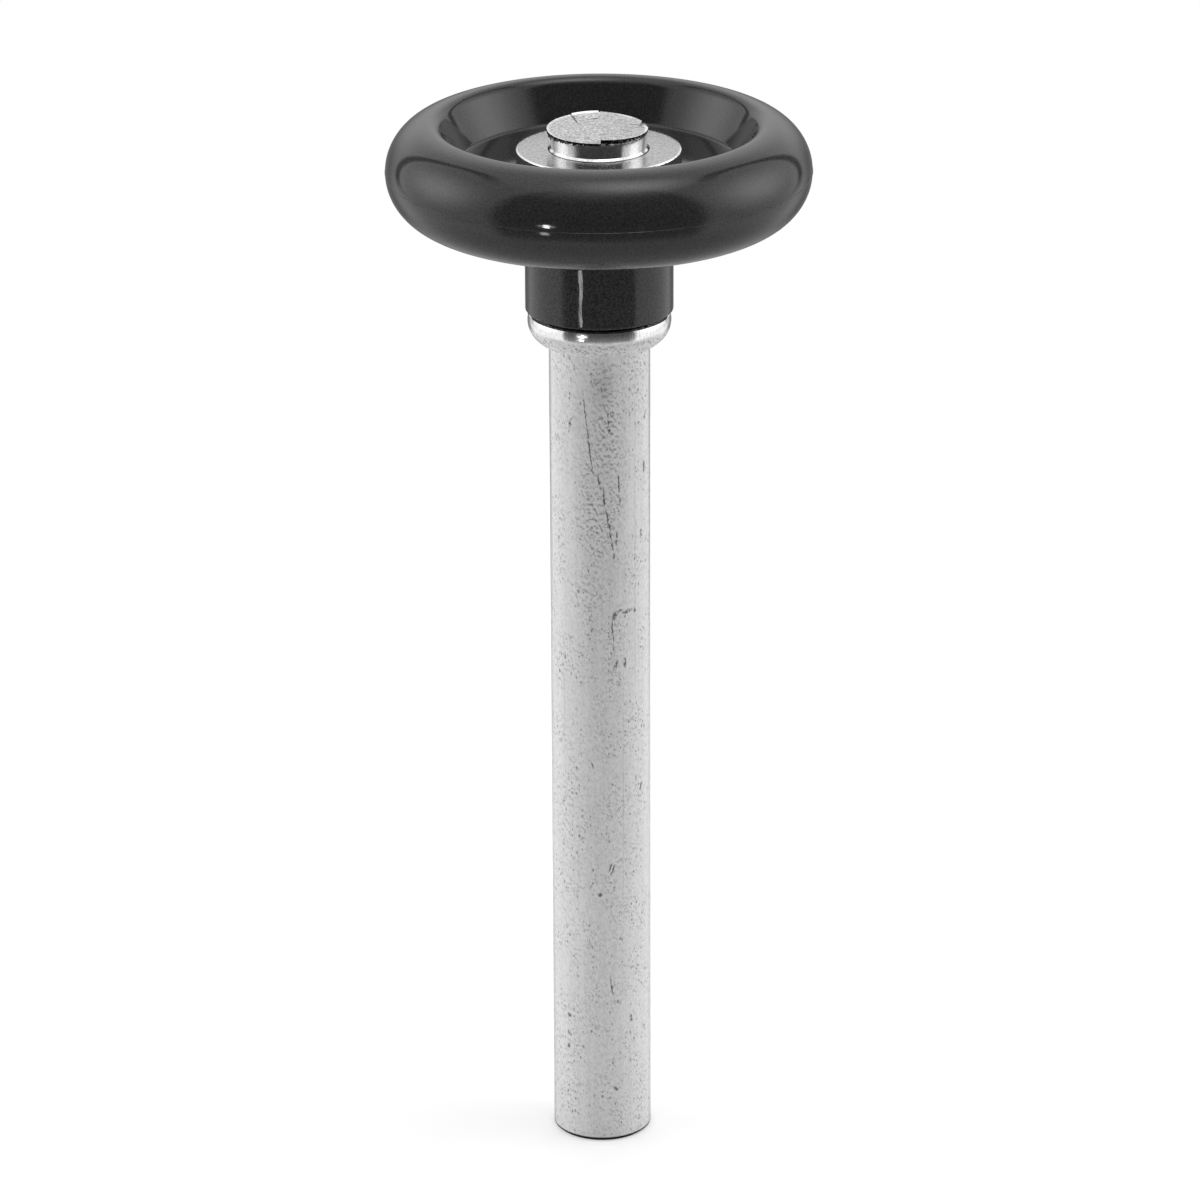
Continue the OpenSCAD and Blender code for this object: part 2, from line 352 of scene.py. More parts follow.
def crinkled_plating(tree, rod):
    """Crinkles in the plating: how high they stand, how crinkled a place is, and the painted shade under
    and the painted highlight on the crest of each ridge."""
    high = add(tree, "TexNoise", {"Vector": rod.drawn, "Scale": 1 / CRINKLE, "Detail": 1.0})
    beside = add(tree, "VectorMath", {0: rod.drawn, 1: (0.03, 0.0, 0.09)}, operation="ADD")
    beside = add(tree, "TexNoise", {"Vector": beside, "Scale": 1 / CRINKLE, "Detail": 1.0})
    ridge = add(tree, "Math", {0: high, 1: beside}, operation="SUBTRACT")

    # Thickest on the front of the shank's upper end
    patch = add(tree, "CombineXYZ", {0: rod.around, 1: rod.z})
    patch = add(tree, "VectorMath", {0: patch, 1: (*PATCH_AT, 0.0)}, operation="SUBTRACT")
    patch = add(tree, "VectorMath", {0: patch, 1: (1 / PATCH_SIZE[0], 1 / PATCH_SIZE[1], 0.0)},
                operation="MULTIPLY")
    patch = add(tree, "VectorMath", {0: patch}, out=1, operation="LENGTH")
    patch = add(tree, "MapRange", {"Value": patch, "From Min": 1.2, "From Max": 0.6})
    thinned = add(tree, "MapRange", {"Value": rod.cloud, "From Min": 0.35, "From Max": 0.6,
                                     "To Min": 0.35, "To Max": 0.9})
    patch = add(tree, "Math", {0: patch, 1: thinned}, operation="MULTIPLY")
    crinkled = add(tree, "Math", {0: rod.crowd, 1: 0.5}, operation="MULTIPLY")
    crinkled = add(tree, "Math", {0: crinkled, 1: patch}, operation="MAXIMUM")
    # Also under the collar, where upsetting the rod creased it
    creased = add(tree, "Math", {0: rod.z, 1: UPSET_Z}, operation="SUBTRACT")
    creased = add(tree, "Math", {0: creased}, operation="ABSOLUTE")
    creased = add(tree, "MapRange", {"Value": creased, "From Min": 1.3, "From Max": 0.9,
                                     "To Max": 0.7})
    crinkled = add(tree, "Math", {0: crinkled, 1: creased}, operation="MAXIMUM")
    crinkled = add(tree, "Math", {0: crinkled, 1: rod.shank}, operation="MULTIPLY")

    # Painted shade under each ridge and painted highlight on its crest, from how the crinkles rise upward,
    # as if lit from above
    under = add(tree, "MapRange", {"Value": ridge, "From Min": 0.02, "From Max": 0.12})
    under = add(tree, "Math", {0: under, 1: crinkled}, operation="MULTIPLY")
    crest = add(tree, "MapRange", {"Value": ridge, "From Min": -0.02, "From Max": -0.1})
    crest = add(tree, "Math", {0: crest, 1: crinkled}, operation="MULTIPLY")
    return high, crinkled, under, crest


def shank_marks(tree, rod, crinkles):
    """Dark marks of the shank, broken up into dashes by the crinkles, and the faint long lines."""
    marks = add(tree, "MapRange", {"Value": scratches(tree, rod.around, rod.z, MARKS),
                                   "From Min": 1.7, "From Max": 0.8})
    gaps = add(tree, "MapRange", {"Value": crinkles, "From Min": 0.4, "From Max": 0.5,
                                  "To Min": 0.25, "To Max": 1.0})
    marks = add(tree, "Math", {0: marks, 1: gaps}, operation="MULTIPLY")
    faint = add(tree, "MapRange", {"Value": scratches(tree, rod.around, rod.z, FAINT_MARKS),
                                   "From Min": 1.8, "From Max": 0.3, "To Max": 0.24})
    marks = add(tree, "Math", {0: marks, 1: faint}, operation="MAXIMUM")
    return add(tree, "Math", {0: marks, 1: rod.shank}, operation="MULTIPLY")


def sheared_face(tree, rod, pale):
    """The head's face: where it is, its colour of bare steel under thin plating, blotched, with a painted
    highlight in patches on its rolled rim, and the torn marks on it."""
    facing = add(tree, "SeparateXYZ", {0: add(tree, "TexCoord", out="Normal")}, out=2)
    face = add(tree, "MapRange", {"Value": facing, "From Min": 0.85, "From Max": 0.97})
    on_head = add(tree, "MapRange", {"Value": rod.z, "From Min": FACE_Z - 0.2, "From Max": FACE_Z})
    face = add(tree, "Math", {0: face, 1: on_head}, operation="MULTIPLY")
    blotch = add(tree, "Mix", {0: pale, 6: linear("#7a7a7a"), 7: linear("#d2d2d2")}, out=2,
                 data_type="RGBA")

    # Painted highlight, in patches, on the rolled rim of the face
    outward = add(tree, "VectorMath", {0: rod.place, 1: (HEAD_SHIFT, 0.0, 0.0)}, operation="ADD")
    outward = add(tree, "VectorMath", {0: outward, 1: (1.0, 1.0, 0.0)}, operation="MULTIPLY")
    outward = add(tree, "VectorMath", {0: outward}, out=1, operation="LENGTH")
    outward = add(tree, "Math", {0: rod.y, 1: 0.06, 2: outward}, operation="MULTIPLY_ADD")
    rolled = add(tree, "MapRange", {"Value": outward, "From Min": 5.05, "From Max": 5.3})
    some = add(tree, "MapRange", {"Value": rod.cloud, "From Min": 0.6, "From Max": 0.4,
                                  "To Min": 0.1, "To Max": 0.8})
    rolled = add(tree, "Math", {0: rolled, 1: some}, operation="MULTIPLY")
    blotch = add(tree, "Mix", {0: rolled, 6: blotch, 7: linear("#ffffff")}, out=2,
                 data_type="RGBA")

    torn = add(tree, "MapRange", {"Value": scratches(tree, rod.x, rod.y, FACE_MARKS),
                                  "From Min": 1.8, "From Max": 0.9})
    torn = add(tree, "Math", {0: torn, 1: face}, operation="MULTIPLY")
    return face, blotch, torn


def zinc_plate():
    """Zinc plate on drawn rod: pale and nearly matt on the shank, mottled and pitted, burnished to a
    mirror where the heading die closed on the collar and neck, and greyer on the sheared face."""
    material, tree = new_material("zinc_plated_steel")
    rod = rod_patterns(tree)
    pits, lips = pits_and_lips(tree, rod)
    specks = shallow_specks(tree, rod)
    crinkles, crinkled, under, crest = crinkled_plating(tree, rod)
    marks = shank_marks(tree, rod, crinkles)

    # Colour: pale zinc, mottled by the grain, darker in the specks, bright on the lips of the pits, with
    # painted shade under and a painted highlight on each crinkle's ridge
    pale = add(tree, "MapRange", {"Value": rod.grain, "From Min": 0.32, "From Max": 0.68})
    lines = add(tree, "MapRange", {"Value": rod.streak, "From Min": 0.35, "From Max": 0.65,
                                   "To Min": -0.15, "To Max": 0.15})
    pale = add(tree, "Math", {0: pale, 1: lines}, operation="ADD", use_clamp=True)
    zinc = add(tree, "Mix", {0: pale, 6: linear("#e8e8e8"), 7: linear("#ffffff")}, out=2,
               data_type="RGBA")
    # Darker in the specks, and painted shade under each crinkle's ridge
    specks_and_painted_shade = add(tree, "Math", {0: specks, 1: under}, operation="MAXIMUM")
    specks_and_painted_shade = add(tree, "Math", {0: specks_and_painted_shade, 1: 0.75}, operation="MULTIPLY")
    zinc = add(tree, "Mix", {0: specks_and_painted_shade, 6: zinc, 7: linear("#767676")}, out=2, data_type="RGBA")
    # Bright on the lips of the pits, and a painted highlight on each crinkle's crest
    bright = add(tree, "Math", {0: lips, 1: crest}, operation="MAXIMUM")
    zinc = add(tree, "Mix", {0: bright, 6: zinc, 7: linear("#ffffff")}, out=2, data_type="RGBA")
    face, blotch, torn = sheared_face(tree, rod, pale)
    zinc = add(tree, "Mix", {0: face, 6: zinc, 7: blotch}, out=2, data_type="RGBA")

    # Dark inside the marks and pits
    dim = add(tree, "Math", {0: pits, 1: 0.65}, operation="MULTIPLY")
    dark = add(tree, "Math", {0: marks, 1: dim}, operation="MAXIMUM")
    dark = add(tree, "Math", {0: dark, 1: torn}, operation="MAXIMUM")
    deep = add(tree, "Math", {0: dark, 1: 0.85}, operation="MULTIPLY")
    zinc = add(tree, "Mix", {0: deep, 6: zinc, 7: linear("#3b3b3b")}, out=2, data_type="RGBA")

    # Painted shade: the far side of the shank is painted darker, to offset the brighter light behind it
    away = add(tree, "Math", {0: rod.turn}, operation="ABSOLUTE")
    away = add(tree, "MapRange", {"Value": away, "From Min": FAR_SHADE_FROM, "From Max": FAR_SHADE_TO},
               interpolation_type="SMOOTHSTEP")
    away = add(tree, "Math", {0: away, 1: rod.shank}, operation="MULTIPLY")
    zinc = add(tree, "Mix", {0: away, 6: zinc, 7: linear("#d2d2d2")}, out=2, data_type="RGBA",
               blend_type="MULTIPLY")

    # Painted shade: a black line round the collar's top edge, in the shadow under the hub's overhang
    hub_gap_painted_shade = add(tree, "Math", {0: rod.z, 1: COLLAR_TOP_Z}, operation="SUBTRACT")
    hub_gap_painted_shade = add(tree, "Math", {0: hub_gap_painted_shade}, operation="ABSOLUTE")
    hub_gap_painted_shade = add(tree, "Math", {0: rod.grain, 1: 0.2, 2: hub_gap_painted_shade}, operation="MULTIPLY_ADD")
    hub_gap_painted_shade = add(tree, "MapRange", {"Value": hub_gap_painted_shade, "From Min": 0.3, "From Max": 0.22})
    zinc = add(tree, "Mix", {0: hub_gap_painted_shade, 6: zinc, 7: linear("#080808")}, out=2, data_type="RGBA")

    # Painted shade: a black line along the broken edge of the free end, where it meets the floor
    ragged = add(tree, "Math", {0: rod.grain, 1: 0.12}, operation="MULTIPLY")
    edge = add(tree, "Math", {0: rod.z, 1: ragged}, operation="SUBTRACT")
    edge = add(tree, "MapRange", {"Value": edge, "From Min": EDGE_Z, "From Max": EDGE_Z - 0.1})
    zinc = add(tree, "Mix", {0: edge, 6: zinc, 7: linear("#0e0e0e")}, out=2, data_type="RGBA")

    # Gloss: matt shank, collar burnished on its upper half, mirror neck, satin head face
    touched = add(tree, "Math", {0: rod.cloud, 1: 0.8, 2: rod.z}, operation="MULTIPLY_ADD")
    polish = add(tree, "MapRange", {"Value": touched, "From Min": BURNISHED_Z + 0.2,
                                    "From Max": BURNISHED_Z + 0.6},
                 interpolation_type="SMOOTHSTEP")
    graze = add(tree, "LayerWeight", {"Blend": 0.5}, out=1)
    matt = add(tree, "MapRange", {"Value": graze, "From Min": 0.5, "From Max": 0.8,
                                  "To Min": 0.8, "To Max": 0.15})
    rough = add(tree, "Mix", {0: polish, 2: matt, 3: 0.12}, data_type="FLOAT")
    rough = add(tree, "Mix", {0: face, 2: rough, 3: 0.34}, data_type="FLOAT")
    uneven = add(tree, "MapRange", {"Value": rod.cloud, "From Min": 0.3, "From Max": 0.7,
                                    "To Min": -0.05, "To Max": 0.05})
    rough = add(tree, "Math", {0: rough, 1: uneven}, operation="ADD")

    # White bloom on the shank's plating, which scatters most of the light
    metal = add(tree, "MapRange", {"Value": crest, "To Min": 0.08, "To Max": 0.0})
    metal = add(tree, "Mix", {0: away, 2: metal, 3: 0.6}, data_type="FLOAT")
    metal = add(tree, "Mix", {0: polish, 2: metal, 3: 1.0}, data_type="FLOAT")

    # Relief: grain about 4 microns high, pits about 30 microns deep, lines drawn by the heading die
    height = add(tree, "Math", {0: rod.grain, 1: 0.14}, operation="MULTIPLY")
    height = add(tree, "Math", {0: height, 1: pits}, operation="SUBTRACT")
    height = add(tree, "Math", {0: lips, 1: 0.4, 2: height}, operation="MULTIPLY_ADD")
    height = add(tree, "Math", {0: specks, 1: -0.9, 2: height}, operation="MULTIPLY_ADD")
    bumps = add(tree, "Math", {0: crinkles, 1: crinkled}, operation="MULTIPLY")
    height = add(tree, "Math", {0: bumps, 1: 1.6, 2: height}, operation="MULTIPLY_ADD")
    closed = add(tree, "Math", {0: 1.0, 1: face}, operation="SUBTRACT")
    closed = add(tree, "Math", {0: closed, 1: polish}, operation="MULTIPLY")
    closed = add(tree, "Math", {0: closed, 1: 0.9}, operation="MULTIPLY")
    height = add(tree, "Math", {0: rod.streak, 1: closed, 2: height}, operation="MULTIPLY_ADD")
    normal = add(tree, "Bump", {"Strength": 1.0, "Distance": PLATING_RELIEF * MM, "Height": height})
    finish_surface(tree, {
        "Base Color": zinc, "Metallic": metal, "Roughness": rough, "Normal": normal})
    return material


# ---- Burr and washer ----

# Creases of the torn steel and mottling of the washer, with the depth of each relief, in millimetres
TORN_CREASE = 0.25
TORN_RELIEF = 0.06
WASHER_MOTTLE = 0.35
WASHER_RELIEF = 0.03
WASHER_R = 9.0


def torn_steel():
    """Burr torn from the rod's end by the shear: dark, creased steel with bright ridges."""
    material, tree = new_material("torn_steel")
    place = millimetres(tree)
    crease = add(tree, "TexNoise", {"Vector": place, "Scale": 1 / TORN_CREASE, "Detail": 2.0})
    ridge = add(tree, "MapRange", {"Value": crease, "From Min": 0.5, "From Max": 0.68})
    steel = add(tree, "Mix", {0: ridge, 6: linear("#343434"), 7: linear("#c4c4c4")}, out=2,
                data_type="RGBA")
    normal = add(tree, "Bump", {"Strength": 1.0, "Distance": TORN_RELIEF * MM, "Height": crease})
    finish_surface(tree, {
        "Base Color": steel, "Metallic": 1.0, "Roughness": 0.3, "Normal": normal})
    return material


def punched_zinc():
    """Zinc-plated punched washer: smoother and a little darker than the rod, its edge rolled, with a
    painted highlight on it."""
    material, tree = new_material("zinc_plated_washer")
    place = millimetres(tree)
    mottle = add(tree, "TexNoise", {"Vector": place, "Scale": 1 / WASHER_MOTTLE, "Detail": 2.0})
    rough = add(tree, "MapRange", {"Value": mottle, "From Min": 0.3, "From Max": 0.7,
                                   "To Min": 0.19, "To Max": 0.27})
    pale = add(tree, "MapRange", {"Value": mottle, "From Min": 0.35, "From Max": 0.65})
    zinc = add(tree, "Mix", {0: pale, 6: linear("#929292"), 7: linear("#bababa")}, out=2,
               data_type="RGBA")
    # Painted highlight on the rolled edge, which the same mask also rounds with the bump
    outward = add(tree, "VectorMath", {0: place, 1: (1.0, 1.0, 0.0)}, operation="MULTIPLY")
    outward = add(tree, "VectorMath", {0: outward}, out=1, operation="LENGTH")
    rolled = add(tree, "MapRange", {"Value": outward, "From Min": WASHER_R - 0.3,
                                    "From Max": WASHER_R - 0.1})
    zinc = add(tree, "Mix", {0: rolled, 6: zinc, 7: linear("#f6f6f6")}, out=2, data_type="RGBA")
    height = add(tree, "Math", {0: rolled, 1: -1.0}, operation="MULTIPLY")
    height = add(tree, "Math", {0: mottle, 1: 0.1, 2: height}, operation="MULTIPLY_ADD")
    normal = add(tree, "Bump", {"Strength": 1.0, "Distance": WASHER_RELIEF * MM, "Height": height})
    finish_surface(tree, {"Base Color": zinc, "Metallic": 1.0, "Roughness": rough,
                          "Normal": normal})
    return material


# ---- The wheel, with the marks that its mould left ----

# Half section in millimetres, heights from the middle of the tyre, whose round section has the radius
# TYRE_ROUND_R and lies at TYRE_MID_R from the axis
TYRE_ROUND_R = 5.53
TYRE_MID_R = 17.6
FOOT_X = 15.0
WALL_SLOPE = 27.5
RIM_R = 1.5
FOOT_R = 0.6
FLOOR_UP = 0.8
ROOF_UP = -2.6
HUB_R = 8.1
HUB_L = 16.3
HUB_EDGE_R = 0.08
HUB_ROOT_R = 1.0
BORE_R = 5.485
BORE_CHAMFER = 0.3
# The hub's free end is this much higher than on its solid
HUB_OFF = 0.66
# Moulding flash left along the parting line of the tread, and round the hub's free edge
FLASH_H = 0.08
FLASH_W = 0.06
RAGGED = 0.1
# Degrees of the tyre's round section left to the flash on either side of the parting line
PARTING = 0.6
# Height of the band at the hub's free end that is ragged
RAGGED_BAND = 0.25
ROUND_STEPS = 500


def arc(centre, radius, start, end, steps):
    """Points of an arc, from one angle to another in degrees."""
    turns = [math.radians(start + (end - start) * i / steps) for i in range(steps + 1)]
    return [(centre[0] + radius * math.cos(t), centre[1] + radius * math.sin(t)) for t in turns]


def dish(up):
    """Tyre, rim, wall and foot of a dish whose floor lies at the height up: from the tread inwards."""
    slope = math.radians(WALL_SLOPE)
    into = (math.cos(slope), -math.sin(slope))
    along = (math.sin(slope), math.cos(slope))
    # The rim radius touches the wall and the tyre's circle
    start = (FOOT_X + RIM_R * into[0] - TYRE_MID_R, up + RIM_R * into[1])
    reach = TYRE_ROUND_R - RIM_R
    level = start[0] * along[0] + start[1] * along[1]
    rise = math.sqrt(level ** 2 - start[0] ** 2 - start[1] ** 2 + reach ** 2) - level
    rim = (TYRE_MID_R + start[0] + rise * along[0], start[1] + rise * along[1])
    crest = math.degrees(math.atan2(rim[1], rim[0] - TYRE_MID_R))
    foot = (FOOT_X - FOOT_R * (1 - math.sin(slope)) / math.cos(slope), up + FOOT_R)
    tyre = arc((TYRE_MID_R, 0), TYRE_ROUND_R, PARTING, crest, 56)
    return (tyre + arc(rim, RIM_R, crest, 180 - WALL_SLOPE, 16)[1:]
            + arc(foot, FOOT_R, -WALL_SLOPE, -90, 8))


def wheel_section():
    """The whole half section, once round from the parting line over the top, bore and hub."""
    top = dish(FLOOR_UP)
    below = [(r, -z) for r, z in reversed(dish(-ROOF_UP))]
    bore = [(BORE_R + BORE_CHAMFER, FLOOR_UP), (BORE_R, FLOOR_UP - BORE_CHAMFER),
            (BORE_R, BORE_CHAMFER + HUB_OFF - HUB_L), (BORE_R + BORE_CHAMFER, HUB_OFF - HUB_L)]
    edge = arc((HUB_R - HUB_EDGE_R, HUB_EDGE_R + HUB_OFF - HUB_L), HUB_EDGE_R, -90, 0, 4)
    # Rows close to the ragged edge and to the root, so that the side between them is shaded straight
    side = [(HUB_R, up + HUB_OFF - HUB_L) for up in (0.3, 0.7)] + [(HUB_R, ROOF_UP - HUB_ROOT_R - 0.5)]
    root = arc((HUB_R + HUB_ROOT_R, ROOF_UP - HUB_ROOT_R), HUB_ROOT_R, 180, 90, 10)
    return top + bore + edge + side + root + below


def rough_line(turn, seed, waves):
    """Uneven height of flash along a line, between 0 and 1: more waves make it finer."""
    at = Vector((math.cos(turn), math.sin(turn), 0)) * waves
    return max(0.0, min(1.0, 0.5 + 0.9 * noise.noise(at + Vector((0, 0, seed)))))


def make_wheel():
    """One moulding, revolved, with flash at the parting line and a ragged edge on the hub."""
    section = wheel_section()
    flash = len(section)
    section += [(TYRE_MID_R + TYRE_ROUND_R, up) for up in (-FLASH_W / 2, FLASH_W / 2)]
    mid_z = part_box("wheel")[0].z / MM + HUB_L
    points = []
    for i in range(ROUND_STEPS):
        turn = i * math.tau / ROUND_STEPS
        seam = rough_line(turn, 1.0, 40) * rough_line(turn, 5.0, 4)
        sag = rough_line(turn, 9.0, 30)
        for n, (r, z) in enumerate(section):
            if n >= flash:
                r += FLASH_H * (0.25 + 0.75 * seam)
            if HUB_R - HUB_EDGE_R < r <= HUB_R and z < HUB_OFF + RAGGED_BAND - HUB_L:
                z -= RAGGED * (sag - 0.5)
            points.append((r * math.sin(turn) * MM, -r * math.cos(turn) * MM, (mid_z + z) * MM))
    count = len(section)
    faces = [(i * count + j, (i + 1) % ROUND_STEPS * count + j,
              (i + 1) % ROUND_STEPS * count + (j + 1) % count, i * count + (j + 1) % count)
             for i in range(ROUND_STEPS) for j in range(count)]
    mesh = bpy.data.meshes.new("moulded_wheel")
    mesh.from_pydata(points, [], faces)
    mesh.shade_smooth()
    mesh.set_sharp_from_angle(angle=math.radians(30))
    wheel = bpy.data.objects.new("moulded_wheel", mesh)
    bpy.context.scene.collection.objects.link(wheel)
    mesh.materials.append(moulded_nylon())
    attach(wheel, "wheel")
    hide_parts("wheel")


# ---- The stem, with what upsetting and shearing left on it ----

# In millimetres: underside and top of the solid's own collar. Here it stands higher and is a little
# shorter, its top edge is broken wider, as (radius, height) from and to, and the neck is fuller
SOLID_UNDER_Z = 93.93
SOLID_TOP_Z = 98.05
COLLAR_BREAK = {(7.72, 97.81): (7.76, 97.70), (7.47, 98.05): (7.22, 98.05)}
NECK_R = 5.3
NECK_FROM_Z = 117.3
NECK_TO_Z = FACE_Z + 0.12
# Points farther out than these belong to the collar and to the neck
COLLAR_FROM_R = 5.4
NECK_FROM_R = 5.1
# Points closer than this to a place are on it
ON_IT = 0.02


def make_stem():
    """The headed rod, from its solid, with the collar and neck drawn closer to the real ones."""
    mesh = nodes["stem"].data.copy()
    mesh.name = "headed_stem"
    for vertex in mesh.vertices:
        x, y, z = vertex.co / MM
        r = math.hypot(x, y)
        new_r, new_z = r, z
        for (edge_r, edge_z), to in COLLAR_BREAK.items():
            if abs(r - edge_r) < ON_IT and abs(z - edge_z) < ON_IT:
                new_r, new_z = to
        if r > COLLAR_FROM_R and SOLID_UNDER_Z - 0.1 < z < SOLID_TOP_Z + 0.1:
            share = (COLLAR_TOP_Z - COLLAR_Z) / (SOLID_TOP_Z - SOLID_UNDER_Z)
            new_z = COLLAR_Z + (new_z - SOLID_UNDER_Z) * share
        if r > NECK_FROM_R and NECK_FROM_Z < z < NECK_TO_Z:
            new_r = max(r, NECK_R)
        if r > 1:
            vertex.co = (x * new_r / r * MM, y * new_r / r * MM, new_z * MM)
    mesh.materials.clear()
    mesh.materials.append(zinc_plate())
    stem = bpy.data.objects.new("headed_stem", mesh)
    bpy.context.scene.collection.objects.link(stem)
    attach(stem, "stem")
    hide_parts("stem")


# In millimetres, as the head is made: the face has two halves with a step
BURR_R = 5.49
TEAR_X = 0.2
TEAR_STEP = 0.24
LEFT_SLOPE = 1.8
RIGHT_SLOPE = 2.9
HEAD_H = 2.4
# How far the burr hangs down, in millimetres: everywhere, by its fringe, more so in front, and in front on
# the right of the tear
DROP = 0.1
FRINGE_DROP = 0.14
FRONT_DROP = 0.34
RIGHT_DROP = 0.16
# How far it stands proud of the rim at most, and how far its two edges are tucked in
PROUD = 0.05
TUCK = 0.03
BURR_STEPS = 720
BURR_ROWS = 5
# The burr is folded over deepest at the left: where, and how far to either side of there, in radians round
# from the front, and how much deeper it hangs, in millimetres
LAP_TURN = -1.15
LAP_REACH = 0.55
LAP_DROP = 0.45


def face_height(x, y):
    """Height of the sheared face above the middle of its tear line."""
    if x < TEAR_X:
        return y * math.tan(math.radians(LEFT_SLOPE)) - TEAR_STEP / 2
    return TEAR_STEP / 2 - (x - TEAR_X) * math.tan(math.radians(RIGHT_SLOPE))


def make_burr():
    """A torn skin of metal that hangs unevenly from the rim of the face, over the head's side."""
    face_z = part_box("washer")[1].z / MM + HEAD_H
    points = []
    rows = BURR_ROWS
    for i in range(BURR_STEPS):
        turn = i * math.tau / BURR_STEPS
        x, y = BURR_R * math.sin(turn) - HEAD_SHIFT, -BURR_R * math.cos(turn)
        top = face_height(x, y)
        fringe = rough_line(turn, 3.0, 14) * 0.6 + rough_line(turn, 7.0, 45) * 0.4
        front = max(0.0, math.cos(turn))
        right = RIGHT_DROP if x > TEAR_X else 0.0
        drop = DROP + (FRINGE_DROP + FRONT_DROP * front) * fringe + right * front
        beside = abs(turn - math.tau - LAP_TURN)
        drop += LAP_DROP * max(0.0, 1 - beside / LAP_REACH) * (0.4 + 0.6 * fringe)
        out = PROUD * rough_line(turn, 11.0, 30)
        for row in range(rows):
            share = row / (rows - 1)
            # Proud at the rim, close to the side below
            r = BURR_R + out * (1 - share) - TUCK * (row in (0, rows - 1))
            points.append(((r * math.sin(turn) - HEAD_SHIFT) * MM, -r * math.cos(turn) * MM,
                           (face_z + top + 0.02 * fringe - drop * share) * MM))
    faces = [(i * rows + j, i * rows + j + 1, (i + 1) % BURR_STEPS * rows + j + 1,
              (i + 1) % BURR_STEPS * rows + j) for i in range(BURR_STEPS) for j in range(rows - 1)]
    mesh = bpy.data.meshes.new("sheared_burr")
    mesh.from_pydata(points, [], faces)
    mesh.shade_smooth()
    burr = bpy.data.objects.new("sheared_burr", mesh)
    bpy.context.scene.collection.objects.link(burr)
    mesh.materials.append(torn_steel())
    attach(burr, "stem")


def dress(node, material):
    """Gives a CAD node its material."""
    node.data.materials.clear()
    node.data.materials.append(material)


make_wheel()
make_burr()
make_stem()
dress(nodes["washer"], punched_zinc())


# ---- Floor, surroundings and lamps ----

# Radius of the board, where it begins to let go, and how far it lies below the object, in metres
FLOOR_R = 0.245
FADE_FROM = 0.10
FLOOR_BELOW = 0.00001
FLOOR_STEPS = 96
# Added for the camera alone, so that the lit board is shown white and only the shadow is darker
FLOOR_LIFT = 0.45


def pale_board():
    """White painted board: matt, shown white to the camera where no shadow falls. In mirrored and bounced
    light it is let go softly toward its rim, and from below it is clear."""
    material, tree = new_material("white_painted_board")
    matt = add(tree, "BsdfDiffuse", {"Color": linear("#cfcfcf")})
    rays = add(tree, "LightPath", out="Is Camera Ray")
    lift = add(tree, "Math", {0: rays, 1: FLOOR_LIFT}, operation="MULTIPLY")
    glow = add(tree, "Emission", {"Strength": lift})
    board = add(tree, "AddShader", {0: matt, 1: glow})
    place = add(tree, "TexCoord", out="Object")
    out = add(tree, "VectorMath", {0: place}, out=1, operation="LENGTH")
    gone = add(tree, "MapRange", {"Value": out, "From Min": FADE_FROM, "From Max": FLOOR_R},
               interpolation_type="SMOOTHSTEP")
    seen = add(tree, "Math", {0: 1.0, 1: rays}, operation="SUBTRACT")
    fade = add(tree, "Math", {0: gone, 1: seen}, operation="MULTIPLY")
    under = add(tree, "NewGeometry", out="Backfacing")
    share = add(tree, "Math", {0: fade, 1: under}, operation="MAXIMUM")
    clear = add(tree, "BsdfTransparent")
    add(tree, "OutputMaterial", {"Surface": add(tree, "MixShader", {0: share, 1: board, 2: clear})})
    return material


def make_floor():
    """A round white board under the object."""
    mesh = bpy.data.meshes.new("floor")
    turns = [i * math.tau / FLOOR_STEPS for i in range(FLOOR_STEPS)]
    rim = [(FLOOR_R * math.cos(turn), FLOOR_R * math.sin(turn), 0) for turn in turns]
    mesh.from_pydata(rim, [], [list(range(FLOOR_STEPS))])
    board = bpy.data.objects.new("floor", mesh)
    board.location.z = cad_low.z - FLOOR_BELOW
    bpy.context.scene.collection.objects.link(board)
    mesh.materials.append(pale_board())


# Soft lights: degrees round from the viewer's side, degrees up, reach in degrees, strength
SOFT_LIGHTS = [
    (-97, 19, 34, 1.80),
    (95, 21, 36, 1.90),
    (80, 80, 25, 2.25),
    (0, 88, 40, 0.35),
    (180, 40, 28, 0.70),
]
# Strength of the plain white walls, how much of it those behind lose low down, and strength of the dark
# side where the viewer stands, low down and higher up
WALLS = 0.98
REAR_LOSS = 0.75
DARK_LOW = 0.24
DARK_HIGH = 0.07
# Black rims of the side lights: middle and half size of their frame, as degrees (round, up)
RIM_AT = (97, 20)
RIM_SIZE = (41, 37)


def direction(round_from_viewer, up):
    """Unit vector toward a place in the studio, from degrees round from the viewer's side and up."""
    a, e = round_from_viewer * DEG, up * DEG
    return math.sin(a) * math.cos(e), -math.cos(a) * math.cos(e), math.sin(e)


def lit_walls(tree, toward, aside, height):
    """Strength of the white walls with the soft lights on them; those behind are dimmer low down."""
    light = WALLS
    for turn, up, reach, strength in SOFT_LIGHTS:
        near = add(tree, "VectorMath", {0: toward, 1: direction(turn, up)}, out=1,
                   operation="DOT_PRODUCT")
        away = add(tree, "Math", {0: near}, operation="ARCCOSINE")
        glow = add(tree, "MapRange", {"Value": away, "From Min": reach * DEG, "From Max": 0.0,
                                      "To Max": strength}, interpolation_type="SMOOTHSTEP")
        light = add(tree, "Math", {0: light, 1: glow}, operation="ADD")
    behind = add(tree, "MapRange", {"Value": aside, "From Min": 128 * DEG, "From Max": 155 * DEG},
                 interpolation_type="SMOOTHSTEP")
    low_down = add(tree, "MapRange", {"Value": height, "From Min": 18 * DEG, "From Max": -8 * DEG,
                                      "To Max": REAR_LOSS}, interpolation_type="SMOOTHSTEP")
    dim = add(tree, "Math", {0: behind, 1: low_down}, operation="MULTIPLY")
    return add(tree, "Math", {0: light, 1: dim}, operation="SUBTRACT")


